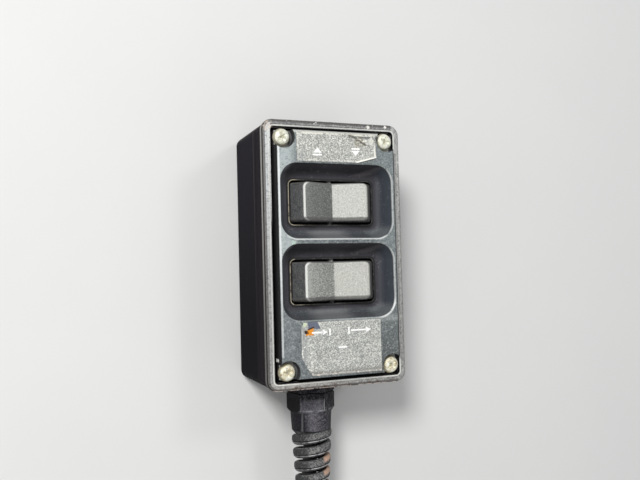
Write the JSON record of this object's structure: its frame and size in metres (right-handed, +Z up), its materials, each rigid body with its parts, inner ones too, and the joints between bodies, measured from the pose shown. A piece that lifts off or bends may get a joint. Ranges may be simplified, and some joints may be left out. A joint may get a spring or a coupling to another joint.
{
  "type": "two-switch hand control pendant",
  "caption": "Box-shaped hand control pendant with recessed rocker switches, a cable gland with a spiral strain relief and a coiled lead",
  "frame": {"origin": "centre of the outer face of the pad on the back, which is the back_pad mount", "axes": "+Y is the back_pad mount's outward normal, into the post; +Z is up, along the box's longest side; the switches face -Y"},
  "size_m": [0.1029, 0.0532, 0.3333],
  "materials": {
    "black_abs": "textured moulded plastic, dusty on the rim",
    "grey_plate": "worn moulded plastic with bleached edges",
    "zinc": "zinc plated with white corrosion",
    "black_nylon": "moulded nylon, fine texture",
    "rocker_plastic": "matte moulded plastic",
    "label_film": "speckled metallic film, worn",
    "pad_fabric": "woven hook-and-loop strip",
    "cord_rubber": "smooth black jacket"
  },
  "bodies": {
    "pendant": {"housing": "black_abs", "switch_plate": "grey_plate", "lid_screw_1": "zinc", "lid_screw_2": "zinc", "lid_screw_3": "zinc", "lid_screw_4": "zinc", "switch_frame_upper": "black_nylon", "switch_frame_lower": "black_nylon", "label_upper": "label_film", "label_lower": "label_film", "back_pad": "pad_fabric", "gland_body": "black_nylon", "gland_nut": "black_nylon", "gland_seal": "cord_rubber", "gland_spiral": "black_nylon", "cord_lead": "cord_rubber", "cord_coil": "cord_rubber", "cord_tail": "cord_rubber", "cord_tie": "pad_fabric", "plug": "black_nylon"},
    "upper_rocker": {"rocker_upper": "rocker_plastic"},
    "lower_rocker": {"rocker_lower": "rocker_plastic"}
  },
  "joints": [
    {"name": "upper_rocker_tilt", "type": "hinge", "parent": "pendant", "child": "upper_rocker", "pos_m": [0, -0.0416, 0.0233], "axis": [0, 0, 1], "range_deg": [-9, 9], "stiffness_Nm_per_rad": 0.12},
    {"name": "lower_rocker_tilt", "type": "hinge", "parent": "pendant", "child": "lower_rocker", "pos_m": [0, -0.0416, -0.0125], "axis": [0, 0, 1], "range_deg": [-9, 9], "stiffness_Nm_per_rad": 0.12}
  ]
}
